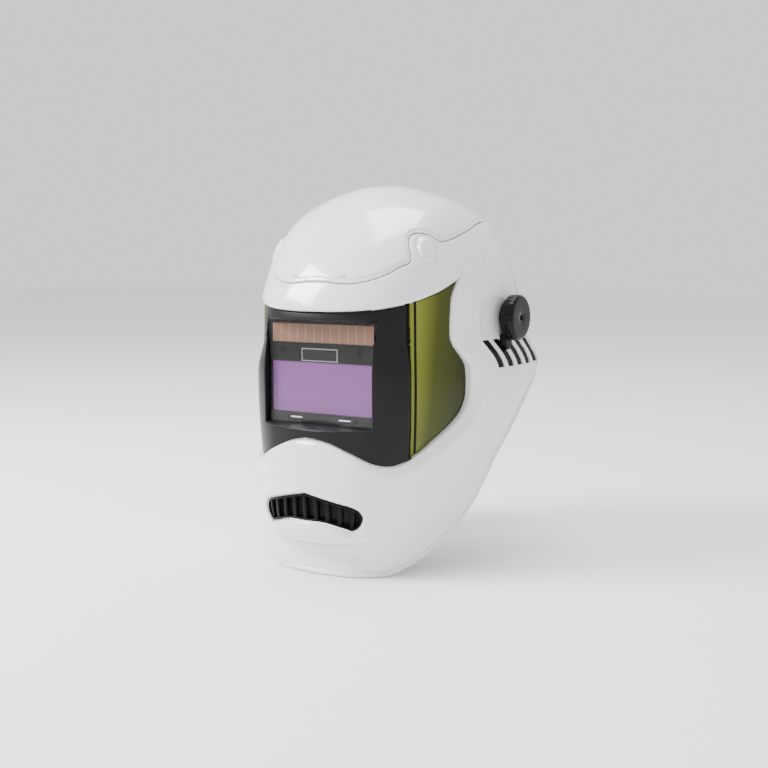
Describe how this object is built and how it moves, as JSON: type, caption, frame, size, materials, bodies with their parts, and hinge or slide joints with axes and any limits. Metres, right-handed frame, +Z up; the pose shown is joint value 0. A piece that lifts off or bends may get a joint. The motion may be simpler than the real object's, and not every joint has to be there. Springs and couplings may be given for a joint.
{
  "type": "welding helmet",
  "caption": "Auto-darkening welding helmet: one-piece shell with tinted side windows, filter cartridge, tilting pivots and ratchet headgear.",
  "frame": {"origin": "middle of the axis that the helmet tilts about, between the two side knobs", "axes": "+Z up, the visor faces -Y, +X is the wearer's left"},
  "size_m": [0.243, 0.3065, 0.3339],
  "materials": {
    "shell_white": "high-gloss white",
    "frame_dark": "fine satin, near black",
    "vent_black": "satin black",
    "lens_olive": "polished dark green polycarbonate",
    "lens_clear": "polished clear polycarbonate",
    "filter_case": "satin black",
    "lcd_purple": "polished, violet tint",
    "solar_copper": "polished over copper-brown cells",
    "label_blank": "blank, gloss black",
    "knob_black": "smooth black",
    "steel": "bright zinc plated",
    "control_grey": "satin grey",
    "control_red": "satin red",
    "board_green": "solder mask",
    "headgear_dark": "satin dark grey",
    "foam_cloth": "brushed cloth over foam"
  },
  "bodies": {
    "headgear": {"headband": "headgear_dark", "sweatband": "foam_cloth", "nape_pad": "foam_cloth", "slide_rail_left": "headgear_dark", "slide_rail_right": "headgear_dark", "ratchet_housing": "headgear_dark", "ratchet_cover": "headgear_dark", "crown_strap_left": "headgear_dark", "crown_strap_right": "headgear_dark", "crown_strap_pin": "headgear_dark"},
    "pivot_carriers": {"pivot_carrier_left": "headgear_dark", "pivot_carrier_right": "headgear_dark", "pivot_bolt_left": "steel", "pivot_bolt_right": "steel", "friction_washer_left": "steel", "friction_washer_right": "steel"},
    "helmet": {"helmet_shell": "shell_white", "crown_cover": "shell_white", "visor_frame": "frame_dark", "outer_cover_lens": "lens_clear", "side_window_left": "lens_olive", "side_window_right": "lens_olive", "chin_vent_grille": "vent_black", "side_vent_insert_left": "vent_black", "side_vent_insert_right": "vent_black", "filter_case": "filter_case", "lcd_panel": "lcd_purple", "solar_panel": "solar_copper", "label_plate": "label_blank", "arc_sensor_1": "vent_black", "arc_sensor_2": "vent_black", "arc_sensor_3": "vent_black", "arc_sensor_4": "vent_black", "circuit_board": "board_green", "filter_rear_cover": "filter_case", "inner_cover_lens": "lens_clear", "filter_retainer": "filter_case", "battery_left": "steel", "battery_right": "steel", "pivot_bush_left": "vent_black", "pivot_bush_right": "vent_black", "tilt_stop_pin_left": "steel", "tilt_stop_pin_right": "steel"},
    "knob_left": {"tilt_knob_left": "knob_black"},
    "knob_right": {"tilt_knob_right": "knob_black"},
    "ratchet_knob": {"ratchet_knob": "knob_black", "ratchet_pinion": "steel"},
    "strap_left": {"strap_left": "headgear_dark"},
    "strap_right": {"strap_right": "headgear_dark"},
    "shade_dial": {"shade_dial": "control_grey"},
    "sensitivity_dial": {"sensitivity_dial": "control_grey"},
    "delay_dial": {"delay_dial": "control_grey"},
    "test_button": {"test_button": "control_red"},
    "mode_switch": {"mode_switch": "control_red"},
    "battery_cap_left": {"battery_cap_left": "control_grey"},
    "battery_cap_right": {"battery_cap_right": "control_grey"}
  },
  "joints": [
    {"name": "fore_aft_slide", "type": "slide", "parent": "headgear", "child": "pivot_carriers", "axis": [0, 1, 0], "range_m": [-0.008, 0.008]},
    {"name": "shell_tilt", "type": "hinge", "parent": "pivot_carriers", "child": "helmet", "pos_m": [0, 0, 0], "axis": [-1, 0, 0], "range_deg": [0, 65]},
    {"name": "tilt_knob_left_turn", "type": "hinge", "parent": "pivot_carriers", "child": "knob_left", "pos_m": [0.116, 0, 0], "axis": [1, 0, 0], "range_deg": [-45, 180]},
    {"name": "tilt_knob_right_turn", "type": "hinge", "parent": "pivot_carriers", "child": "knob_right", "pos_m": [-0.116, 0, 0], "axis": [-1, 0, 0], "range_deg": [-45, 180]},
    {"name": "ratchet_turn", "type": "hinge", "parent": "headgear", "child": "ratchet_knob", "pos_m": [0, 0.10638, -0.03005], "axis": [0, 0.9438, -0.3305], "range_deg": [-75, 75]},
    {"name": "strap_left_travel", "type": "hinge", "parent": "headgear", "child": "strap_left", "pos_m": [0, 0.03088, -0.00361], "axis": [0, 0.3305, 0.9438], "range_deg": [-5.6, 5.6]},
    {"name": "strap_right_travel", "type": "hinge", "parent": "headgear", "child": "strap_right", "pos_m": [0, 0.03088, -0.00361], "axis": [0, 0.3305, 0.9438], "range_deg": [-5.6, 5.6]},
    {"name": "test_button_press", "type": "slide", "parent": "helmet", "child": "test_button", "axis": [0, -1, 0], "range_m": [0, 0.001], "stiffness_N_per_m": 300, "springref_m": -0.0005},
    {"name": "mode_switch_slide", "type": "slide", "parent": "helmet", "child": "mode_switch", "axis": [1, 0, 0], "range_m": [0, 0.005]},
    {"name": "shade_dial_turn", "type": "hinge", "parent": "helmet", "child": "shade_dial", "pos_m": [-0.0166, -0.1286, -0.012], "axis": [0, 1, 0], "range_deg": [-135, 135]},
    {"name": "sensitivity_dial_turn", "type": "hinge", "parent": "helmet", "child": "sensitivity_dial", "pos_m": [0, -0.1286, -0.012], "axis": [0, 1, 0], "range_deg": [-135, 135]},
    {"name": "delay_dial_turn", "type": "hinge", "parent": "helmet", "child": "delay_dial", "pos_m": [0.0166, -0.1286, -0.012], "axis": [0, 1, 0], "range_deg": [-135, 135]},
    {"name": "battery_cap_left_turn", "type": "hinge", "parent": "helmet", "child": "battery_cap_left", "pos_m": [0.037, -0.1287, -0.015], "axis": [0, 1, 0], "range_deg": [0, 40]},
    {"name": "battery_cap_right_turn", "type": "hinge", "parent": "helmet", "child": "battery_cap_right", "pos_m": [-0.037, -0.1287, -0.015], "axis": [0, 1, 0], "range_deg": [0, 40]}
  ],
  "couplings": [
    {"joint": "strap_left_travel", "follows": "ratchet_turn", "ratio": -0.073529},
    {"joint": "strap_right_travel", "follows": "ratchet_turn", "ratio": 0.073529}
  ]
}
